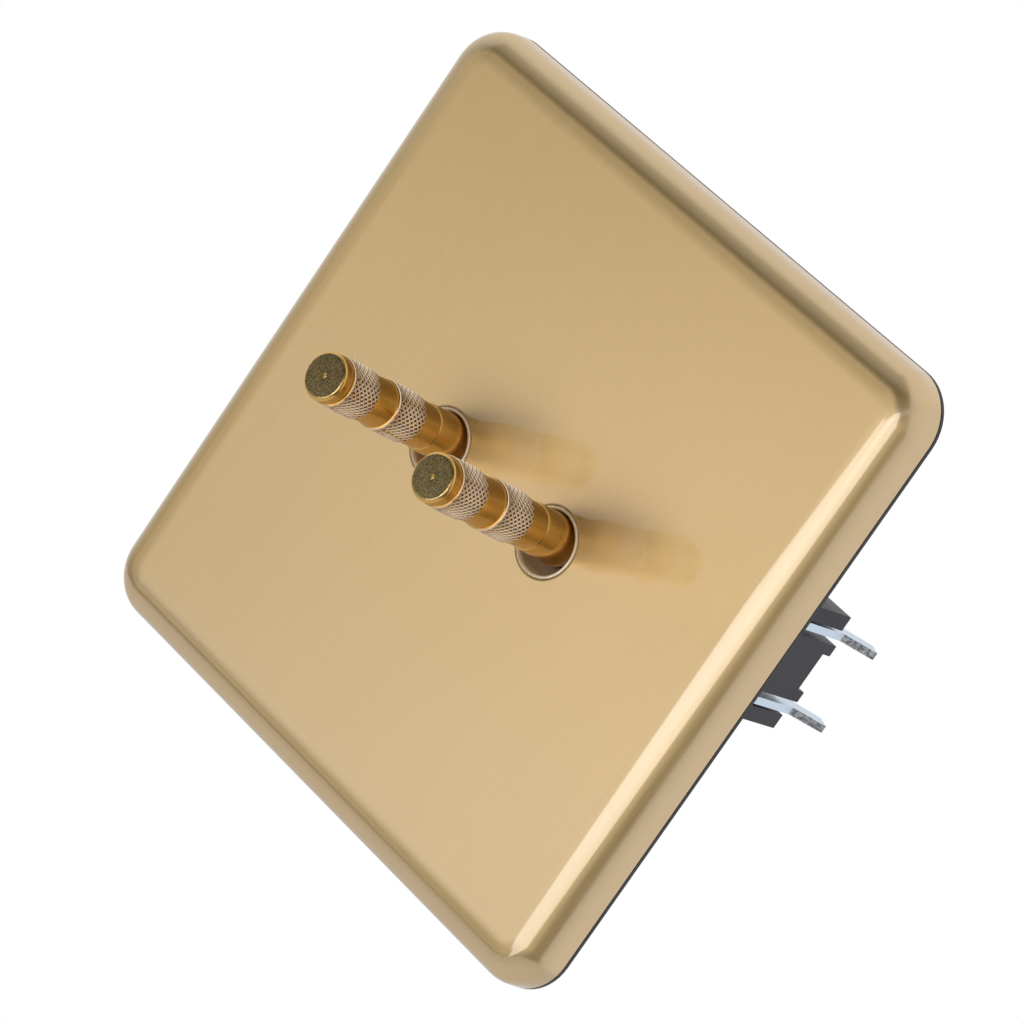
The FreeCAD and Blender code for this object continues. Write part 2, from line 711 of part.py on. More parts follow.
def make_claw(side, sign):
    """A stamped U: a web around the screw and two legs that bend out at the rear."""
    body = new_body(f"Claw_{side}")
    outline = sketch_on(body, "XY_Plane")
    leg = [
        ("claw_in", "claw_web"), ("claw_out", "claw_web"), ("claw_out", "claw_web + claw_wide"),
        ("guide_out", "claw_web + claw_narrow"), ("guide_out", "knee_y"), ("tip_x", "tip_y"),
        ("tip_x - tip_inward", "tip_y + tip_behind"), ("leg_in", "knee_y + knee_behind"),
        ("leg_in", "claw_web + claw_wide"), ("claw_in", "claw_web + web_thick"),
    ]
    corners = [(x if sign > 0 else f"-({x})", y) for x, y in leg]
    polygon(outline, corners)
    doc.recompute()
    pad(body, outline, "2 * claw_half", both_ways=True)
    round_edges(body, "claw_heel", upright_edge_at(sign * size("claw_in"), size("claw_web")))
    gap = sketch_on(body, "XY_Plane")
    near, far = f"{sign} * (claw_in - overrun)", f"{sign} * (tip_x + overrun)"
    front, back = "claw_web + web_thick", "tip_y + tip_behind + overrun"
    polygon(gap, [(near, front), (far, front), (far, back), (near, back)])
    doc.recompute()
    pocket(body, gap, "2 * (claw_half - claw_thick)", both_ways=True)
    hole = sketch_on(body, "XZ_Plane")
    circle_at(hole, "claw_hole", f"{sign} * claw_screw_x", "0")
    doc.recompute()
    pocket(body, hole)
    return keep(body, f"claw_{side}")


def make_claw_screw(side, sign):
    screw = slotted_screw("claw_screw_rad", "claw_head_rad", "claw_head_high", "claw_screw_end",
                          "-yoke_thick - run_fit", f"{sign} * claw_screw_x", "0")
    return keep(screw, f"claw_screw_{side}")


def make_claw_nut(side, sign):
    """A square nut behind the web, which the screw draws towards the yoke."""
    x = f"{sign} * claw_screw_x"
    front = "claw_web + web_thick + nut_gap"
    nut = block((f"{x} - nut_size / 2", f"{x} + nut_size / 2"), (front, f"{front} + nut_thick"),
                ("-nut_size / 2", "nut_size / 2"))
    bore = rod("claw_screw_rad + run_fit", "y", f"{front} - overrun",
               f"{front} + nut_thick + overrun", (x, "0"))
    return keep(cut(nut, bore), f"claw_nut_{side}")


# ---- levers ----------------------------------------------------------------------

def make_bushing(side, sign):
    """A turned brass ferrule: thin collar through the plate, flange behind it, funnel bore."""
    at = (f"{sign} * lever_pitch / 2", "0")
    outside = fuse(
        rod("bush_out", "y", "-bush_front", "-bush_shoulder", at),
        rod("bush_flange", "y", "-bush_shoulder", "-lid_front", at),
        rod("bush_body", "y", "-lid_front", "-bush_back", at),
    )
    bore = rod("bush_in", "y", "-bush_front - overrun", "-bush_straight", at)
    funnel = taper("bush_in", "bush_seat", "y", "-bush_straight", "-bush_back - bush_throat", at)
    throat = rod("bush_seat", "y", "-bush_back - bush_throat", "overrun", at)
    return keep(cut(outside, bore, funnel, throat), f"bushing_{side}")


def make_lever(side, sign):
    """A turned lever along -Y from its pivot: flat cap, collar, two knurl bands, rounded base."""
    def from_tip(distance):
        return f"{distance} - lever_reach"
    bands = [
        taper("cap_rad", "grip_rad", "y", from_tip("0"), from_tip("cap_bevel")),
        rod("grip_rad", "y", from_tip("cap_bevel"), from_tip("knurl_a_end")),
        rod("waist_rad", "y", from_tip("knurl_a_end"), from_tip("waist_end")),
        rod("grip_rad", "y", from_tip("waist_end"), from_tip("knurl_b_end")),
        rod("waist_rad", "y", from_tip("knurl_b_end"), "-ball_ahead"),
        ball("ball_rad", y="-ball_ahead"),
        rod("neck_rad", "y", "-ball_ahead", "-neck_end"),
    ]
    bore = rod("stud_rad", "y", "-neck_end - stud_deep", "0")
    lever = cut(fuse(*bands), bore)
    return keep(lean(lever, sign, "pivot_y", "lever_tilt"), f"lever_{side}")


def make_lever_stud(side, sign):
    """The steel stud that screws the lever into its rocker."""
    stud = rod("stud_rad", "y", "-neck_end - stud_deep", "-pin_rad - stud_gap")
    return keep(lean(stud, sign, "pivot_y", "lever_tilt"), f"lever_stud_{side}")


def make_rocker(side, sign):
    """The moulded cradle: a cross bore for the pivot pin and a blind bore for the plunger."""
    body = block(("-rocker_half_x", "rocker_half_x"), ("-neck_end", "rocker_tail"),
                 ("-rocker_half_z", "rocker_half_z"))
    cross = rod("pin_rad + run_fit", "x", "-rocker_half_x - overrun", "rocker_half_x + overrun")
    well = rod("plunger_rad + run_fit", "y", "spring_in", "rocker_tail + overrun")
    socket = rod("stud_rad", "y", "-neck_end - overrun", "-pin_rad - stud_gap")
    rocker = cut(body, cross, well, socket)
    return keep(lean(rocker, sign, "pivot_y", "lever_tilt"), f"rocker_{side}")


def make_pivot_pin(side, sign):
    middle = f"{sign} * lever_pitch / 2"
    pin = rod("pin_rad", "x", f"{middle} - pin_half", f"{middle} + pin_half", ("pivot_y", "0"))
    return keep(pin, f"pivot_pin_{side}")


def make_plunger(side, sign):
    """A round-nosed plunger that the spring presses against the contact rocker."""
    stem = rod("plunger_rad", "y", "plunger_in", "plunger_reach - plunger_rad")
    nose = ball("plunger_rad", y="plunger_reach - plunger_rad")
    return keep(lean(fuse(stem, nose), sign, "pivot_y", "lever_tilt"), f"plunger_{side}")


def make_plunger_spring(side, sign):
    """A coil spring in the rocker's well, swept along a helix between its two ends."""
    wire = size("spring_wire")
    start = size("spring_in") + wire + size("run_fit")
    length = size("plunger_in") - wire - size("run_fit") - start
    helix = Part.makeLongHelix(size("spring_pitch"), length, size("spring_rad"))
    profile = Part.Wire(Part.makeCircle(wire, Vector(size("spring_rad"), 0, 0), Vector(0, 1, 0)))
    coil = Part.Wire(helix.Edges).makePipeShell([profile], True, False)
    coil.Placement = Placement(Vector(0, start, 0), TURN_TO["y"])
    base = doc.addObject("Part::Feature", f"Coil_{side}")
    base.Shape = Part.makeCompound([coil])
    return keep(lean(base, sign, "pivot_y", "lever_tilt"), f"plunger_spring_{side}")


# ---- contacts and terminals ------------------------------------------------------

def make_contact_rocker(side, sign):
    """The copper seesaw that the plunger tips over, with a half-round rib behind its middle."""
    half = "seesaw_thick / 2"
    width = ("-seesaw_width / 2", "seesaw_width / 2")
    strip = block(width, (f"-{half}", half), ("-seesaw_half", "seesaw_half"))
    rib = rod("seesaw_rib", "x", *width)
    front = block(width, ("-seesaw_rib - overrun", "0"), ("-seesaw_rib - overrun", "seesaw_rib + overrun"))
    rocker = fuse(strip, cut(rib, front))
    return keep(lean(rocker, sign, "seesaw_y", "seesaw_tilt"), f"contact_rocker_{side}")


def make_moving_contacts(side, sign):
    """Two silver contacts riveted to the rear of the seesaw."""
    buttons = [rod("contact_rad", "y", "seesaw_thick / 2", "seesaw_thick / 2 + contact_high",
                   ("0", f"{end} * contact_at")) for end in SIDES.values()]
    return keep(lean(group(*buttons), sign, "seesaw_y", "seesaw_tilt"), f"moving_contacts_{side}")


def make_fixed_contacts(side, sign):
    middle = f"{sign} * lever_pitch / 2"
    buttons = [rod("contact_rad", "y", "strike_y", "strike_y + contact_high",
                   (middle, f"{end} * contact_at")) for end in SIDES.values()]
    return keep(group(*buttons), f"fixed_contacts_{side}")


def strip_span(sign):
    middle = f"{sign} * lever_pitch / 2"
    return (f"{middle} - strip_width / 2", f"{middle} + strip_width / 2")


def make_common_terminal(side, sign):
    """An upright strip whose rounded front edge carries the seesaw."""
    middle = f"{sign} * lever_pitch / 2"
    half = "strip_thick / 2"
    post = block(strip_span(sign), ("knife_y + strip_thick / 2", "clamp_front"), (f"-{half}", half))
    edge = rod(half, "x", f"{middle} - strip_width / 2", f"{middle} + strip_width / 2",
               ("knife_y + strip_thick / 2", "0"))
    return keep(fuse(post, edge), f"common_terminal_{side}")


def make_traveller_terminals(side, sign):
    """Two bent strips, each from a fixed contact to its wire clamp."""
    span = strip_span(sign)
    front = "strike_y + contact_high"
    strips = []
    for end in SIDES.values():
        def level(low, high):
            return (low, high) if end > 0 else (f"-({high})", f"-({low})")
        leaf = block(span, (front, f"{front} + strip_thick"),
                     level("contact_at - strip_past", "travel_at"))
        riser = block(span, (front, "clamp_front"), level("travel_at - strip_thick", "travel_at"))
        strips.append(fuse(leaf, riser))
    return keep(group(*strips), f"traveller_terminals_{side}")


def make_wire_clamps(side, sign):
    """Three brass blocks with a wire bore from the rear and a screw bore from the side."""
    clamps = []
    half = "clamp_size / 2"
    for x, z in wire_entries(sign):
        cage = block((f"{x} - {half}", f"{x} + {half}"), ("clamp_front", "clamp_back"),
                     (f"{z} - {half}", f"{z} + {half}"))
        bore = rod("clamp_bore", "y", "clamp_front + clamp_face", "clamp_back + overrun", (x, z))
        across = ("clamp_screw_at", z)
        screw_bore = rod("clamp_screw_rad", "x", *clamp_screw_span(x, sign), across)
        clamps.append(cut(cage, bore, screw_bore))
    return keep(group(*clamps), f"wire_clamps_{side}")


def clamp_screw_span(x, sign):
    """A clamp screw reaches from just above the wire out towards the side wall."""
    inner = f"{x} + {sign} * clamp_bore"
    outer = f"{x} + {sign} * (clamp_size / 2 + clamp_screw_out)"
    return (inner, outer) if sign > 0 else (outer, inner)


def make_clamp_screws(side, sign):
    screws = [rod("clamp_screw_rad", "x", *clamp_screw_span(x, sign), ("clamp_screw_at", z))
              for x, z in wire_entries(sign)]
    return keep(group(*screws), f"clamp_screws_{side}")


# ---- build, check and write ------------------------------------------------------

def build_all():
    for make in (make_cover_plate, make_inner_frame, make_frame_screws, make_yoke,
                 make_housing_cover, make_rear_housing, make_housing_screws):
        make()
    for side, sign in SIDES.items():
        for make in (make_claw, make_claw_screw, make_claw_nut, make_bushing, make_lever,
                     make_lever_stud, make_rocker, make_pivot_pin, make_plunger,
                     make_plunger_spring, make_contact_rocker, make_moving_contacts,
                     make_fixed_contacts, make_common_terminal, make_traveller_terminals,
                     make_wire_clamps, make_clamp_screws):
            make(side, sign)
    doc.recompute()


def check_all():
    for obj in doc.Objects:
        if any(word in obj.State for word in ("Invalid", "Error")):
            raise RuntimeError(f"{obj.Label} ({obj.Name}) did not compute: {obj.State}")
    for part in parts:
        shape = part.Shape
        if shape.isNull() or not shape.isValid() or shape.Volume <= 0:
            raise RuntimeError(f"{part.Label} has no valid solid")
        box = shape.BoundBox
        print(f"{part.Label:26s} solids {len(shape.Solids)}  volume {shape.Volume:9.2f}  "
              f"x {box.XMin:7.2f} {box.XMax:7.2f}  y {box.YMin:7.2f} {box.YMax:7.2f}  "
              f"z {box.ZMin:7.2f} {box.ZMax:7.2f}")


def write_all():
    os.makedirs("parts", exist_ok=True)
    for part in parts:
        part.Shape.exportStep(f"parts/{part.Label}.step")


build_all()
check_all()
write_all()
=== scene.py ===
import json
import math

import bmesh
import bpy
from mathutils import Euler, Matrix, Vector
from mathutils.geometry import tessellate_polygon


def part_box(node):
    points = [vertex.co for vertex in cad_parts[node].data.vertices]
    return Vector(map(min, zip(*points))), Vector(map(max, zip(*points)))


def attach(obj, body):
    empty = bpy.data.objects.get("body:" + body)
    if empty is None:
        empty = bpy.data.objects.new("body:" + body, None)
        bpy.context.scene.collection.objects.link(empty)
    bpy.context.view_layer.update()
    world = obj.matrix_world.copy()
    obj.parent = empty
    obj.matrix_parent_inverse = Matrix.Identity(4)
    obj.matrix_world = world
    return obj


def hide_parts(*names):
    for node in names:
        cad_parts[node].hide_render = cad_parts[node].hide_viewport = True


# Looks for the two-lever wall switch.  X runs to the right, Z up, and -Y out of the wall.
# Parts are in millimetres, which add_mesh makes metres.  Camera, light and floor are in metres.

MM = 0.001
SIDES = {"left": -1, "right": 1}

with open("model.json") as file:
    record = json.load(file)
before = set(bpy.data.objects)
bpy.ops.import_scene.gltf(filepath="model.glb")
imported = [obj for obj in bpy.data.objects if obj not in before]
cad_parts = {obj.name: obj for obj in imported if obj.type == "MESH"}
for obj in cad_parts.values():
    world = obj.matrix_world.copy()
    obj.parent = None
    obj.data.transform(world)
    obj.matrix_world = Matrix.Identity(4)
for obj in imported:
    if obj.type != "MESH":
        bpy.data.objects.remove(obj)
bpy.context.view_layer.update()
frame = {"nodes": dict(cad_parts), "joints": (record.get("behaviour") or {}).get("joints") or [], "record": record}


# ---- numbers ---------------------------------------------------------------------

def box_mm(node):
    low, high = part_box(node)
    return [v / MM for v in low], [v / MM for v in high]


PLATE_LOW, PLATE_HIGH = box_mm("cover_plate")
PLATE_HALF = PLATE_HIGH[0]
PLATE_FRONT = PLATE_LOW[1]
PLATE_RIM = PLATE_HIGH[1]
PLATE_WALL = 1.0
PLATE_CORNER = 6.4
PLATE_EDGE = 3.5
PLATE_DRAFT = math.radians(4.3)
# the face falls away a little before its rolled edge
CROWN_REACH = 1.6
CROWN_DROP = 0.07
CROWN_STEPS = 8
# the rim is rounded by rings of this inset and distance ahead of it, and the wall starts after them
RIM_ROUNDING = ((0.22, 0.0), (0.07, 0.06), (0.0, 0.2))
WALL_INSET = 0.015
WALL_AHEAD = 0.22
EDGE_STEPS = 14
CORNER_STEPS = 14
RING_POINTS = 4 * (CORNER_STEPS + 1)
SMALLEST_CORNER = 0.6
HOLE = 4.45
HOLE_LIP = 0.22
HOLE_LIP_STEPS = 5

JOINTS = {joint["name"]: joint for joint in frame["joints"]}
LEVER_TILT = math.radians(5.1)
LEVER_REACH = 33.8
# the knurl bands start and end at these distances from the lever's tip
KNURL_BANDS = ((2.0, 6.9), (11.44, 16.6))
KNURL_TEETH = 24
KNURL_ROWS = 6
KNURL_VALLEY = 2.93
KNURL_CREST = 3.14
KNURL_SWELL = 0.06
BASE_AHEAD = 7.2
BASE_RADIUS = 3.15
BASE_STEPS = 12
SHAFT_RADIUS = 3.0
CLAW_KNEE = 36.0
ROUND_POINTS = 96


def pivot_mm(joint):
    return [v / MM for v in JOINTS[joint]["pos_m"]]


# ---- camera, floor and light -----------------------------------------------------

CAMERA_AIM = Vector((0.0, -0.0003, -0.0016))
CAMERA_AZIMUTH = math.radians(36.43)
CAMERA_ELEVATION = math.radians(11.86)
CAMERA_DISTANCE = 0.6179
CAMERA_ROLL = math.radians(34.38)
CAMERA_LENS = 184.3


def toward(azimuth, elevation):
    """The unit vector towards an azimuth (0 is the front, growing to the right) and elevation."""
    level = math.cos(elevation)
    return Vector((math.sin(azimuth) * level, -math.cos(azimuth) * level, math.sin(elevation)))


def aim(obj, target, roll):
    direction = Vector(target) - obj.location
    turn = direction.to_track_quat("-Z", "Y").to_matrix()
    obj.rotation_euler = (turn @ Matrix.Rotation(roll, 3, "Z")).to_euler()


def add_camera():
    data = bpy.data.cameras.new("camera")
    data.lens = CAMERA_LENS
    data.sensor_width = 36.0
    data.clip_start = 0.01
    camera = bpy.data.objects.new("camera", data)
    bpy.context.scene.collection.objects.link(camera)
    camera.location = CAMERA_AIM + toward(CAMERA_AZIMUTH, CAMERA_ELEVATION) * CAMERA_DISTANCE
    aim(camera, CAMERA_AIM, CAMERA_ROLL)
    bpy.context.scene.camera = camera


def camera_axes():
    """The picture's right, up and forward directions; the studio stands square to the picture."""
    forward = -toward(CAMERA_AZIMUTH, CAMERA_ELEVATION)
    level = forward.cross(Vector((0, 0, 1))).normalized()
    upright = level.cross(forward)
    up = upright * math.cos(CAMERA_ROLL) - level * math.sin(CAMERA_ROLL)
    return forward.cross(up), up, forward


def add_softbox(name, direction, distance, size, radiance):
    """An evenly bright rectangle that faces the object, square to the picture."""
    data = bpy.data.lights.new(name, "AREA")
    data.shape = "RECTANGLE"
    data.size, data.size_y = size
    data.energy = radiance * math.pi * size[0] * size[1]
    light = bpy.data.objects.new(name, data)
    bpy.context.scene.collection.objects.link(light)
    back = Vector(direction).normalized()
    _, up, _ = camera_axes()
    across = up.cross(back).normalized()
    light.location = back * distance
    light.rotation_euler = Matrix((across, back.cross(across), back)).transposed().to_euler()


def remap(tree, value, source, target=(0.0, 1.0)):
    """Map one range of a value to another, straight in between and clamped outside."""
    node = tree.nodes.new("ShaderNodeMapRange")
    for name, number in zip(("From Min", "From Max", "To Min", "To Max"), (*source, *target)):
        node.inputs[name].default_value = number
    tree.links.new(value, node.inputs["Value"])
    return node.outputs["Result"]


# sockets of a colour mix node
MIX_SHARE, MIX_FIRST, MIX_SECOND, MIX_RESULT = 0, 6, 7, 2


def mix(tree, share, first, second, blend="MIX"):
    """Blend two colours by a share.  Each of the three is a constant or a socket."""
    node = tree.nodes.new("ShaderNodeMix")
    node.data_type = "RGBA"
    node.blend_type = blend
    if isinstance(share, float):
        node.inputs[MIX_SHARE].default_value = share
    else:
        tree.links.new(share, node.inputs[MIX_SHARE])
    for index, color in ((MIX_FIRST, first), (MIX_SECOND, second)):
        if isinstance(color, tuple):
            node.inputs[index].default_value = (*color, 1)
        else:
            tree.links.new(color, node.inputs[index])
    return node.outputs[MIX_RESULT]


def along_axis(tree, axis):
    """How far a direction of the world points along an axis, from -1 to 1."""
    where = tree.nodes.new("ShaderNodeTexCoord")
    dot = tree.nodes.new("ShaderNodeVectorMath")
    dot.operation = "DOT_PRODUCT"
    dot.inputs[1].default_value = axis
    tree.links.new(where.outputs["Generated"], dot.inputs[0])
    return dot.outputs["Value"]


def gradient(tree, value, stops):
    """A grey level along a value that runs from -1 to 1, from (position, level) stops."""
    ramp = tree.nodes.new("ShaderNodeValToRGB")
    ramp.color_ramp.interpolation = "EASE"
    while len(ramp.color_ramp.elements) < len(stops):
        ramp.color_ramp.elements.new(0.5)
    for element, (position, level) in zip(ramp.color_ramp.elements, stops):
        element.position = (position + 1) / 2
        element.color = (level, level, level, 1)
    tree.links.new(remap(tree, value, (-1.0, 1.0)), ramp.inputs["Fac"])
    return ramp.outputs["Color"]


# grey levels of the studio along the picture's height in front, and along its width behind
FRONT_LEVELS = (
    (-1.0, 0.2), (-0.62, 0.1), (-0.34, 0.08), (-0.2, 0.28), (0.0, 0.2), (0.14, 0.16), (0.24, 0.85),
    (0.31, 0.45), (0.4, 0.16), (0.5, 0.12), (0.58, 0.04), (0.68, 0.04), (0.8, 0.25), (0.9, 0.32),
)
REAR_LEVELS = ((-1.0, 0.1), (-0.93, 0.1), (-0.88, 0.4), (-0.77, 0.55), (-0.6, 0.75), (-0.35, 0.8))
# where the rear takes over from the front, and the pale right side from both
REAR_SHARE = ((-0.2, 0.0), (0.0, 1.0))
BESIDE_SHARE = ((0.02, 0.0), (0.28, 1.0))
BESIDE_COLOR = (0.8, 0.8, 0.82)


def background(tree, color):
    shader = tree.nodes.new("ShaderNodeBackground")
    if isinstance(color, tuple):
        shader.inputs["Color"].default_value = (*color, 1)
    else:
        tree.links.new(color, shader.inputs["Color"])
    return shader.outputs["Background"]


def add_world():
    """The studio: banded in front, a ramp behind, pale on the right.  The camera sees plain white."""
    world = bpy.data.worlds.new("studio")
    world.use_nodes = True
    tree = world.node_tree
    tree.nodes.clear()
    right, up, forward = camera_axes()
    front = gradient(tree, along_axis(tree, up), FRONT_LEVELS)
    rear = gradient(tree, along_axis(tree, right), REAR_LEVELS)
    rear_share = gradient(tree, along_axis(tree, forward), REAR_SHARE)
    beside_share = gradient(tree, along_axis(tree, right), BESIDE_SHARE)
    around = mix(tree, rear_share, front, rear)
    studio = mix(tree, beside_share, around, BESIDE_COLOR)
    path = tree.nodes.new("ShaderNodeLightPath")
    choose = tree.nodes.new("ShaderNodeMixShader")
    tree.links.new(path.outputs["Is Camera Ray"], choose.inputs[0])
    tree.links.new(background(tree, studio), choose.inputs[1])
    tree.links.new(background(tree, (1, 1, 1)), choose.inputs[2])
    out = tree.nodes.new("ShaderNodeOutputWorld")
    tree.links.new(choose.outputs["Shader"], out.inputs["Surface"])
    bpy.context.scene.world = world


FLOOR_RADIUS = 1.6
FLOOR_LEVEL = -0.9


def add_floor():
    """A plain pale disc, well below the object."""
    mesh = bpy.data.meshes.new("floor")
    outline = circle_points(0, 0, FLOOR_RADIUS, ROUND_POINTS)
    mesh.from_pydata([(x, y, FLOOR_LEVEL) for x, y in outline], [], [range(ROUND_POINTS)])
    floor = bpy.data.objects.new("floor", mesh)
    bpy.context.scene.collection.objects.link(floor)
    mat, _, shader = new_material("floor_paper")
    shader.inputs["Base Color"].default_value = (0.85, 0.85, 0.85, 1)
    shader.inputs["Roughness"].default_value = 0.9
    mesh.materials.append(mat)


# ---- materials -------------------------------------------------------------------

# the range that most of a noise's values fall in
NOISE_MIDDLE = (0.3, 0.7)


def new_material(name, metallic=0.0):
    mat = bpy.data.materials.new(name)
    mat.use_nodes = True
    tree = mat.node_tree
    shader = tree.nodes["Principled BSDF"]
    shader.inputs["Metallic"].default_value = metallic
    return mat, tree, shader


def stretched_noise(tree, scale, detail=2.0, roughness=0.5):
    """Noise in the mesh's own coordinates, scaled separately along each axis."""
    where = tree.nodes.new("ShaderNodeTexCoord")
    mapping = tree.nodes.new("ShaderNodeMapping")
    mapping.inputs["Scale"].default_value = scale
    noise = tree.nodes.new("ShaderNodeTexNoise")
    noise.inputs["Scale"].default_value = 1.0
    noise.inputs["Detail"].default_value = detail
    noise.inputs["Roughness"].default_value = roughness
    tree.links.new(where.outputs["Object"], mapping.inputs["Vector"])
    tree.links.new(mapping.outputs["Vector"], noise.inputs["Vector"])
    return noise.outputs["Fac"]


def split(tree, kind):
    """The X, Y and Z of the mesh's own coordinates or normal."""
    where = tree.nodes.new("ShaderNodeTexCoord")
    parts = tree.nodes.new("ShaderNodeSeparateXYZ")
    tree.links.new(where.outputs[kind], parts.inputs["Vector"])
    return parts.outputs


def set_color(tree, shader, color):
    tree.links.new(color, shader.inputs["Base Color"])


def set_roughness(tree, shader, noise, low, high):
    tree.links.new(remap(tree, noise, NOISE_MIDDLE, (low, high)), shader.inputs["Roughness"])


def add_bump(tree, shader, height, strength, distance):
    bump = tree.nodes.new("ShaderNodeBump")
    bump.inputs["Strength"].default_value = strength
    bump.inputs["Distance"].default_value = distance
    tree.links.new(height, bump.inputs["Height"])
    tree.links.new(bump.outputs["Normal"], shader.inputs["Normal"])


def satin_brass():
    """Brushed along Z under a clear lacquer."""
    mat, tree, shader = new_material("satin_brass", metallic=1.0)
    shader.inputs["Anisotropic"].default_value = 0.81
    shader.inputs["Coat Weight"].default_value = 1.0
    shader.inputs["Coat Roughness"].default_value = 0.06
    shader.inputs["Coat IOR"].default_value = 2.15
    lines = stretched_noise(tree, (9000, 9000, 90), detail=3.0, roughness=0.6)
    drift = stretched_noise(tree, (60, 60, 18))
    tint = mix(tree, drift, (0.74, 0.515, 0.225), (0.79, 0.555, 0.25))
    grain = remap(tree, lines, NOISE_MIDDLE, (0.9, 1.06))
    set_color(tree, shader, mix(tree, 0.5, tint, grain, "MULTIPLY"))
    set_roughness(tree, shader, lines, 0.36, 0.44)
    add_bump(tree, shader, lines, 0.12, 0.00002)
    tangent = tree.nodes.new("ShaderNodeTangent")
    tangent.direction_type = "UV_MAP"
    tangent.uv_map = "brush"
    tree.links.new(tangent.outputs["Tangent"], shader.inputs["Tangent"])
    return mat


def turned_brass(name, color, other, rough, metallic=1.0):
    """Lathe-turned brass: fine rings along the part's own Y axis and a slight tarnish."""
    mat, tree, shader = new_material(name, metallic)
    rings = stretched_noise(tree, (60, 14000, 60))
    stain = stretched_noise(tree, (260, 260, 260), detail=4.0, roughness=0.6)
    tint = mix(tree, stain, color, other)
    set_color(tree, shader, tint)
    set_roughness(tree, shader, stain, *rough)
    add_bump(tree, shader, rings, 0.15, 0.00001)
    return mat, tree, shader, tint


def brass_painted_reflection():
    """The bushings' pale funnel: partly non-metallic, so that it doesn't mirror its dark depth. Its pale cream
    colour is painted reflection of the front light.
    """
    # pale cream base and low metallic: painted reflection of the front light in the funnel
    mat, _, _, _ = turned_brass(
        "brass_painted_reflection", (0.98, 0.86, 0.66), (0.92, 0.76, 0.52), (0.2, 0.32), metallic=0.45)
    return mat


def lever_brass(name, color, other):
    """Turned brass with pale crests, painted highlight with some wear, and a dark, mottled face on the cap."""
    mat, tree, shader, tint = turned_brass(name, color, other, (0.14, 0.30))
    where = tree.nodes.new("ShaderNodeTexCoord")
    level = tree.nodes.new("ShaderNodeVectorMath")
    level.operation = "MULTIPLY"
    level.inputs[1].default_value = (1, 0, 1)
    tree.links.new(where.outputs["Object"], level.inputs[0])
    radius = tree.nodes.new("ShaderNodeVectorMath")
    radius.operation = "LENGTH"
    tree.links.new(level.outputs["Vector"], radius.inputs[0])
    # the outermost rings and the knurl crests get a pale colour: painted highlight, partly wear
    crest = remap(tree, radius.outputs["Value"], (3.08 * MM, 3.16 * MM))
    crest_highlight_and_wear = mix(tree, crest, tint, (1.0, 0.84, 0.66))
    depth = split(tree, "Object")["Y"]
    cap = remap(tree, depth, ((0.03 - LEVER_REACH) * MM, (0.01 - LEVER_REACH) * MM))
    speckle = stretched_noise(tree, (4200, 4200, 4200), detail=5.0, roughness=0.75)
    grains = remap(tree, speckle, (0.36, 0.68))
    olive = mix(tree, grains, (0.17, 0.12, 0.04), (1.0, 0.76, 0.36))
    set_color(tree, shader, mix(tree, cap, crest_highlight_and_wear, olive))
    return mat


def moulded_plastic(name, color, rough, grain):
    mat, tree, shader = new_material(name)
    speck = stretched_noise(tree, (3500, 3500, 3500))
    cloud = stretched_noise(tree, (120, 120, 120), detail=3.0)
    set_color(tree, shader, mix(tree, cloud, color, tuple(c * 0.8 for c in color)))
    set_roughness(tree, shader, cloud, rough - 0.06, rough + 0.08)
    add_bump(tree, shader, speck, grain, 0.00002)
    return mat


def plated_steel(name, color, rough=(0.22, 0.38), other=None):
    mat, tree, shader = new_material(name, metallic=1.0)
    cloud = stretched_noise(tree, (420, 420, 420), detail=4.0, roughness=0.65)
    fine = stretched_noise(tree, (2600, 2600, 600))
    set_color(tree, shader, mix(tree, cloud, color, other or tuple(c * 0.82 for c in color)))
    set_roughness(tree, shader, cloud, *rough)
    add_bump(tree, shader, fine, 0.1, 0.00001)
    return mat


def claw_zinc():
    """Bluish zinc plate, with dark sheared edges on the bent-out ends behind the knee."""
    mat, tree, shader = new_material("claw_zinc", metallic=1.0)
    cloud = stretched_noise(tree, (420, 420, 420), detail=4.0, roughness=0.65)
    shear = stretched_noise(tree, (2200, 1500, 2200), detail=4.0, roughness=0.75)
    plating = mix(tree, cloud, (0.62, 0.76, 0.88), (0.74, 0.84, 0.92))
    torn = mix(tree, remap(tree, shear, (0.38, 0.66)), (0.10, 0.105, 0.11), (0.52, 0.54, 0.56))
    depth = split(tree, "Object")["Y"]
    beyond = remap(tree, depth, ((CLAW_KNEE - 0.1) * MM, (CLAW_KNEE + 0.1) * MM))
    upright = tree.nodes.new("ShaderNodeMath")
    upright.operation = "ABSOLUTE"
    tree.links.new(split(tree, "Normal")["Z"], upright.inputs[0])
    edge = remap(tree, upright.outputs["Value"], (0.6, 0.4))
    both = tree.nodes.new("ShaderNodeMath")
    both.operation = "MULTIPLY"
    tree.links.new(beyond, both.inputs[0])
    tree.links.new(edge, both.inputs[1])
    set_color(tree, shader, mix(tree, both.outputs["Value"], plating, torn))
    set_roughness(tree, shader, cloud, 0.18, 0.34)
    add_bump(tree, shader, shear, 0.12, 0.00002)
    return mat


# ---- mesh helpers ----------------------------------------------------------------

def add_mesh(name, verts, faces, material, smooth_angle):
    """A new piece from millimetre vertices, smooth except at edges sharper than an angle in degrees."""
    mesh = bpy.data.meshes.new(name)
    mesh.from_pydata([tuple(c * MM for c in v) for v in verts], [], faces)
    mesh.validate()
    bm = bmesh.new()
    bm.from_mesh(mesh)
    bmesh.ops.remove_doubles(bm, verts=bm.verts, dist=1e-7)
    bmesh.ops.recalc_face_normals(bm, faces=bm.faces)
    for edge in bm.edges:
        if len(edge.link_faces) == 2 and edge.calc_face_angle(0) > math.radians(smooth_angle):
            edge.smooth = False
    for face in bm.faces:
        face.smooth = True
    bm.to_mesh(mesh)
    bm.free()
    mesh.materials.append(material)
    obj = bpy.data.objects.new(name, mesh)
    bpy.context.scene.collection.objects.link(obj)
    return obj


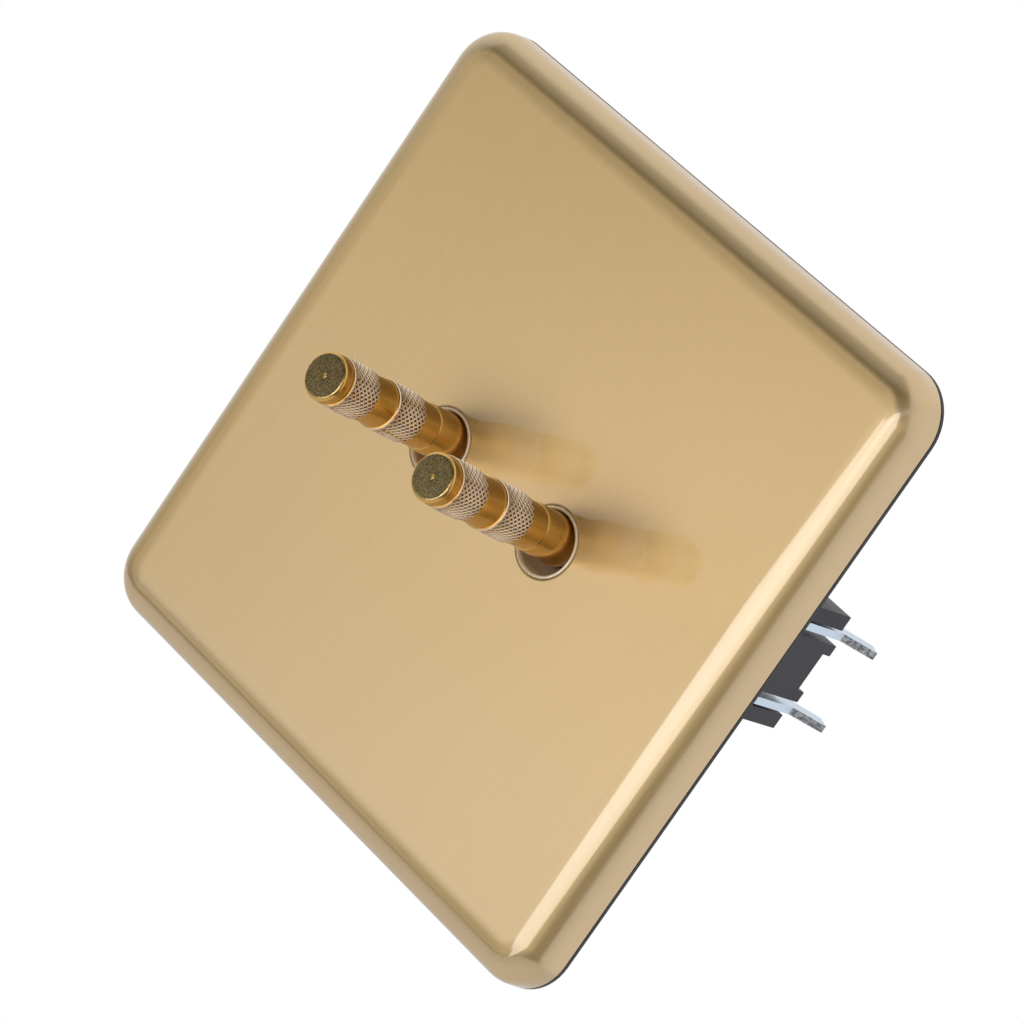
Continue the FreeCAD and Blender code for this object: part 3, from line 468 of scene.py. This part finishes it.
def ring_of(half, radius):
    """Points of a rounded square in the XZ plane, anticlockwise from the right side."""
    points = []
    centre = half - radius
    for quarter, (sx, sz) in enumerate(((1, 1), (-1, 1), (-1, -1), (1, -1))):
        for step in range(CORNER_STEPS + 1):
            turn = math.radians(90 * quarter + 90 * step / CORNER_STEPS)
            points.append((sx * centre + radius * math.cos(turn), sz * centre + radius * math.sin(turn)))
    return points


def bridge(faces, first, second, count):
    for i in range(count):
        j = (i + 1) % count
        faces.append((first + i, first + j, second + j, second + i))


def circle_points(x, z, radius, count):
    turns = [2 * math.pi * i / count for i in range(count)]
    return [(x + radius * math.cos(turn), z + radius * math.sin(turn)) for turn in turns]


def shell_profile(inset, wall_edge, front, rim):
    """Inset and depth from the rim, up the drafted wall and round the edge to the face."""
    # the rounded edge touches the drafted wall and the face
    start_y = front + wall_edge * (1 - math.sin(PLATE_DRAFT))
    start_inset = inset + (rim - start_y) * math.tan(PLATE_DRAFT)
    centre_y = front + wall_edge
    centre_inset = start_inset + wall_edge * math.cos(PLATE_DRAFT)
    points = [(inset, rim), (start_inset, start_y)]
    for step in range(1, EDGE_STEPS + 1):
        turn = (math.pi / 2 - PLATE_DRAFT) * (1 - step / EDGE_STEPS)
        points.append((centre_inset - wall_edge * math.sin(turn), centre_y - wall_edge * math.cos(turn)))
    return points


def cover_outside():
    """Inset and depth of the cover's rings, from its rounded rim to its flat face."""
    rings = [(inset, PLATE_RIM - ahead) for inset, ahead in RIM_ROUNDING]
    rings += shell_profile(WALL_INSET, PLATE_EDGE, PLATE_FRONT + CROWN_DROP, PLATE_RIM - WALL_AHEAD)[1:]
    edge_inset = rings[-1][0]
    for step in range(1, CROWN_STEPS + 1):
        part = step / CROWN_STEPS
        rings.append((edge_inset + CROWN_REACH * part, PLATE_FRONT + CROWN_DROP * (1 - part) ** 2))
    return rings


def lever_x(side):
    return pivot_mm(f"toggle_{side}")[0]


def add_hole_ring(verts, side, y, radius):
    """Add a ring around a lever hole and give the number of its first point."""
    start = len(verts)
    verts.extend((x, y, z) for x, z in circle_points(lever_x(side), 0, radius, ROUND_POINTS))
    return start


def fill_face(verts, faces, outline, y, radius):
    """Fill between a ring of the plate and its two holes, and give each hole's first point."""
    holes = [add_hole_ring(verts, side, y, radius) for side in SIDES]
    chains = [range(outline, outline + RING_POINTS)]
    chains += [range(hole, hole + ROUND_POINTS) for hole in holes]
    loops = [[Vector((verts[i][0], verts[i][2], 0)) for i in chain] for chain in chains]
    numbers = [i for chain in chains for i in chain]
    faces.extend(tuple(numbers[i] for i in triangle) for triangle in tessellate_polygon(loops))
    return holes


def line_hole(verts, faces, side, front, back):
    """Round the lip of a hole and join it to the hole's rear edge."""
    previous = front
    for step in range(1, HOLE_LIP_STEPS + 1):
        turn = math.radians(90 * step / HOLE_LIP_STEPS)
        y = PLATE_FRONT + HOLE_LIP * (1 - math.cos(turn))
        start = add_hole_ring(verts, side, y, HOLE + HOLE_LIP * (1 - math.sin(turn)))
        bridge(faces, previous, start, ROUND_POINTS)
        previous = start
    bridge(faces, previous, back, ROUND_POINTS)


def make_cover(material):
    """The pressed shell: outside, rolled edge, face with two holes, and the inside."""
    verts, faces = [], []

    def add_ring(inset, y):
        start = len(verts)
        ring = ring_of(PLATE_HALF - inset, max(PLATE_CORNER - inset, SMALLEST_CORNER))
        verts.extend((x, y, z) for x, z in ring)
        return start

    face_back = PLATE_FRONT + PLATE_WALL
    cover_inside = shell_profile(PLATE_WALL, PLATE_EDGE - PLATE_WALL, face_back, PLATE_RIM)
    outside = [add_ring(inset, y) for inset, y in cover_outside()]
    inside = [add_ring(inset, y) for inset, y in cover_inside]
    for chain in (outside, inside):
        for first, second in zip(chain, chain[1:]):
            bridge(faces, first, second, RING_POINTS)
    bridge(faces, outside[0], inside[0], RING_POINTS)
    front_holes = fill_face(verts, faces, outside[-1], PLATE_FRONT, HOLE + HOLE_LIP)
    back_holes = fill_face(verts, faces, inside[-1], face_back, HOLE)
    for side, front, back in zip(SIDES, front_holes, back_holes):
        line_hole(verts, faces, side, front, back)
    cover = add_mesh("cover_shell", verts, faces, material, smooth_angle=50)
    paint_brush_uv(cover)
    weight = cover.modifiers.new("weighted_normals", "WEIGHTED_NORMAL")
    weight.keep_sharp = True
    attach(cover, "root")
    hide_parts("cover_plate")


def paint_brush_uv(obj):
    """UVs in metres that unroll the side walls outwards, so that U stays across the brushing."""
    mesh = obj.data
    layer = mesh.uv_layers.new(name="brush")
    for loop in mesh.loops:
        x, y, z = mesh.vertices[loop.vertex_index].co
        depth = y - PLATE_FRONT * MM
        out_x = depth if abs(x) > abs(z) else 0.0
        out_z = depth if abs(z) >= abs(x) else 0.0
        layer.data[loop.index].uv = (x + math.copysign(out_x, x), z + math.copysign(out_z, z))


# ---- lathe work ------------------------------------------------------------------

def lathe(profile):
    """Rings of (y, radius) turned about Y; a radius of 0 closes to a point."""
    verts, faces, starts = [], [], []
    count = ROUND_POINTS
    for y, radius in profile:
        starts.append(len(verts))
        if radius == 0:
            verts.append((0, y, 0))
        else:
            verts.extend((px, y, pz) for px, pz in circle_points(0, 0, radius, count))
    for number in range(len(profile) - 1):
        first, second = starts[number], starts[number + 1]
        if profile[number][1] == 0:
            faces += [(first, second + i, second + (i + 1) % count) for i in range(count)]
        elif profile[number + 1][1] == 0:
            faces += [(second, first + i, first + (i + 1) % count) for i in range(count)]
        else:
            bridge(faces, first, second, count)
    return verts, faces


def knurl(start, end):
    """Diamond knurling between two rings: crossing flat-topped ridges around sunken diamonds."""
    verts, faces = [], []
    pitch = (end - start) / KNURL_ROWS
    step = 2 * math.pi / KNURL_TEETH
    # each diamond's outline, the inner edge of its ridge and its sunken floor, as share and radius
    levels = ((1.0, KNURL_CREST), (0.80, KNURL_CREST), (0.36, KNURL_VALLEY))

    def ring(turn, y, scale, radius, sides):
        first = len(verts)
        for across, along in sides:
            angle = turn + across * scale * step
            depth = y + along * scale * pitch
            swollen = radius + KNURL_SWELL * math.sin(math.pi * (depth - start) / (end - start))
            verts.append((swollen * math.cos(angle), depth, swollen * math.sin(angle)))
        return list(range(first, first + len(sides)))

    last_row = 2 * KNURL_ROWS
    for row in range(last_row + 1):
        y = start + row * pitch / 2
        sides = [(0.5, 0), (0, 0.5), (-0.5, 0), (0, -0.5)]
        if row == 0:
            sides = sides[:3]
        if row == last_row:
            sides = [sides[2], sides[3], sides[0]]
        edges = 4 if len(sides) == 4 else 2
        for tooth in range(KNURL_TEETH):
            turn = (tooth + (0.5 if row % 2 else 0.0)) * step
            rings = [ring(turn, y, scale, radius, sides) for scale, radius in levels]
            for outer, inner in zip(rings, rings[1:]):
                for i in range(edges):
                    j = (i + 1) % len(sides)
                    faces.append((outer[i], outer[j], inner[j], inner[i]))
            faces.append(tuple(rings[-1]))
    return verts, faces


def merge(parts):
    verts, faces = [], []
    for more_verts, more_faces in parts:
        base = len(verts)
        verts.extend(more_verts)
        faces.extend(tuple(base + i for i in face) for face in more_faces)
    return verts, faces


def from_tip(distance):
    """The Y of a place on a lever, from its distance behind the tip."""
    return distance - LEVER_REACH


# distance from the tip and radius there: before, between and behind the two knurl bands
LEVER_CAP = (
    (0.10, 0), (0.04, 0.10), (0.08, 0.20), (0.0, 0.32), (0.0, 0.42), (0.0, 2.5), (0.0, 2.62), (0.02, 2.70),
    (0.16, 2.93), (0.26, 3.0), (1.30, 3.04), (1.42, 3.0), (1.50, 2.84), (1.60, 2.84), (1.68, 3.08),
    (1.78, 3.16), (1.92, 3.16), (2.0, 3.06),
)
LEVER_WAIST = (
    (6.9, 3.06), (7.0, 2.98), (7.3, 2.92), (9.0, 2.90), (10.8, 2.93), (10.92, 2.95), (10.98, 3.12),
    (11.08, 3.19), (11.26, 3.2), (11.38, 3.14), (11.44, 3.04),
)
LEVER_SHAFT = (
    (16.6, 3.04), (16.7, 2.95), (17.2, 2.90), (20.2, 2.82), (20.28, 2.92), (20.5, 2.97),
    (25.0, SHAFT_RADIUS),
)
# Y and radius of the neck behind the rounded base
LEVER_NECK = ((-4.6, 2.1), (-2.4, 2.1), (-2.4, 1.0))


def lever_base():
    """Y and radius round the base, from where the shaft meets it to where the neck does."""
    first = math.acos(SHAFT_RADIUS / BASE_RADIUS)
    last = math.radians(-48)
    turns = [first + (last - first) * step / BASE_STEPS for step in range(BASE_STEPS + 1)]
    return [(-BASE_AHEAD - BASE_RADIUS * math.sin(turn), BASE_RADIUS * math.cos(turn)) for turn in turns]


def make_lever(side, material, shaded_knurl):
    """The turned lever: flat cap, collar and lip, two knurl bands, fine ring, rounded base."""
    cap, waist, shaft = ([(from_tip(distance), radius) for distance, radius in outline]
                         for outline in (LEVER_CAP, LEVER_WAIST, LEVER_SHAFT))
    first_knurl, second_knurl = (knurl(from_tip(start), from_tip(end)) for start, end in KNURL_BANDS)
    verts, faces = merge([
        lathe(cap), first_knurl, lathe(waist), second_knurl, lathe([*shaft, *lever_base(), *LEVER_NECK]),
    ])
    lever = add_mesh(f"lever_turned_{side}", verts, faces, material, smooth_angle=28)
    # the knurl bands take the darker brass: painted shade in their sunken diamonds
    lever.data.materials.append(shaded_knurl)
    for face in lever.data.polygons:
        behind_tip = face.center.y / MM + LEVER_REACH
        if any(start - 0.01 < behind_tip < end + 0.01 for start, end in KNURL_BANDS):
            face.material_index = 1
    lever.rotation_euler = Euler((-LEVER_TILT, 0, 0))
    lever.location = [v * MM for v in pivot_mm(f"toggle_{side}")]
    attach(lever, f"toggle_{side}")
    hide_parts(f"lever_{side}")


# Y and radius around the ferrule: its rear end, flange, collar, rounded front and funnel
BUSHING = (
    (-0.62, 2.55), (-0.62, 5.2), (-2.6, 5.2), (-2.6, 6.0), (-4.5, 6.0), (-4.5, 4.35), (-5.66, 4.35),
    (-5.73, 4.3), (-5.75, 4.22), (-5.74, 4.12), (-5.66, 4.02), (-5.5, 3.94), (-5.2, 3.9), (-4.6, 3.9),
    (-4.0, 3.86), (-3.4, 3.74), (-2.9, 3.5), (-2.4, 3.15), (-1.8, 2.7), (-1.4, 2.55), (-0.62, 2.55),
)


def make_bushing(side, material):
    """The ferrule around a lever's base, with its polished funnel, whose pale colour is painted reflection of the
    front light.
    """
    low, high = box_mm(f"bushing_{side}")
    verts, faces = lathe(BUSHING)
    bushing = add_mesh(f"bushing_turned_{side}", verts, faces, material, smooth_angle=40)
    bushing.location.x = (low[0] + high[0]) / 2 * MM
    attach(bushing, "root")
    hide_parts(f"bushing_{side}")


# ---- the CAD nodes that stay -----------------------------------------------------

# widths of the broken edges in mm
BROKEN_EDGES = {"rear_housing": 0.15, "inner_frame": 0.12, "yoke": 0.1, "housing_cover": 0.2}


def finish_nodes(materials):
    """Give every CAD node that stays its material, and some of them slightly broken edges."""
    for node, material in materials.items():
        obj = frame["nodes"][node]
        obj.data.materials.clear()
        obj.data.materials.append(material)
        if node in BROKEN_EDGES:
            bevel = obj.modifiers.new("broken_edges", "BEVEL")
            bevel.width = BROKEN_EDGES[node] * MM
            bevel.segments = 3
            bevel.limit_method = "ANGLE"
            bevel.angle_limit = math.radians(50)


def node_materials():
    """The material of each CAD node that no detailed piece replaces."""
    by_slot = {
        "black_plastic": moulded_plastic("black_moulding", (0.027, 0.026, 0.034), rough=0.42, grain=0.25),
        "white_nylon": moulded_plastic("nylon", (0.78, 0.76, 0.70), rough=0.4, grain=0.1),
        "zinc_steel": plated_steel("zinc_plating", (0.60, 0.70, 0.80), (0.18, 0.34), (0.72, 0.78, 0.84)),
        "screw_steel": plated_steel("screw_steel", (0.55, 0.56, 0.58)),
        "contact_copper": plated_steel("copper_strip", (0.75, 0.38, 0.22)),
        "contact_silver": plated_steel("silver_contact", (0.80, 0.80, 0.80)),
        "terminal_brass": plated_steel("terminal_brass", (0.70, 0.50, 0.22)),
    }
    slots = {part["node"]: part["material_slot"] for part in frame["record"]["subparts"]}
    chosen = {node: by_slot[slot] for node, slot in slots.items() if slot in by_slot}
    claw = claw_zinc()
    for side in SIDES:
        chosen[f"claw_{side}"] = claw
    return chosen


# ---- build -----------------------------------------------------------------------

SOFTBOX_TOWARD = (-0.10, -0.98, -0.155)
SOFTBOX_DISTANCE = 1.0
SOFTBOX_SIZE = (0.82, 0.40)
SOFTBOX_RADIANCE = 1.9

add_camera()
add_world()
add_floor()
bpy.context.scene.view_settings.view_transform = "Standard"
add_softbox("softbox", SOFTBOX_TOWARD, SOFTBOX_DISTANCE, SOFTBOX_SIZE, SOFTBOX_RADIANCE)

brass = satin_brass()
turned = lever_brass("lever_brass", (0.84, 0.52, 0.16), (0.70, 0.40, 0.10))
# a darker copy of the lever brass for the knurl bands: painted shade in the sunken diamonds
shaded_knurl = lever_brass("knurl_brass_painted_shade", (0.34, 0.20, 0.10), (0.24, 0.13, 0.06))
funnel_reflection = brass_painted_reflection()
make_cover(brass)
for side in SIDES:
    make_lever(side, turned, shaded_knurl)
    make_bushing(side, funnel_reflection)
finish_nodes(node_materials())
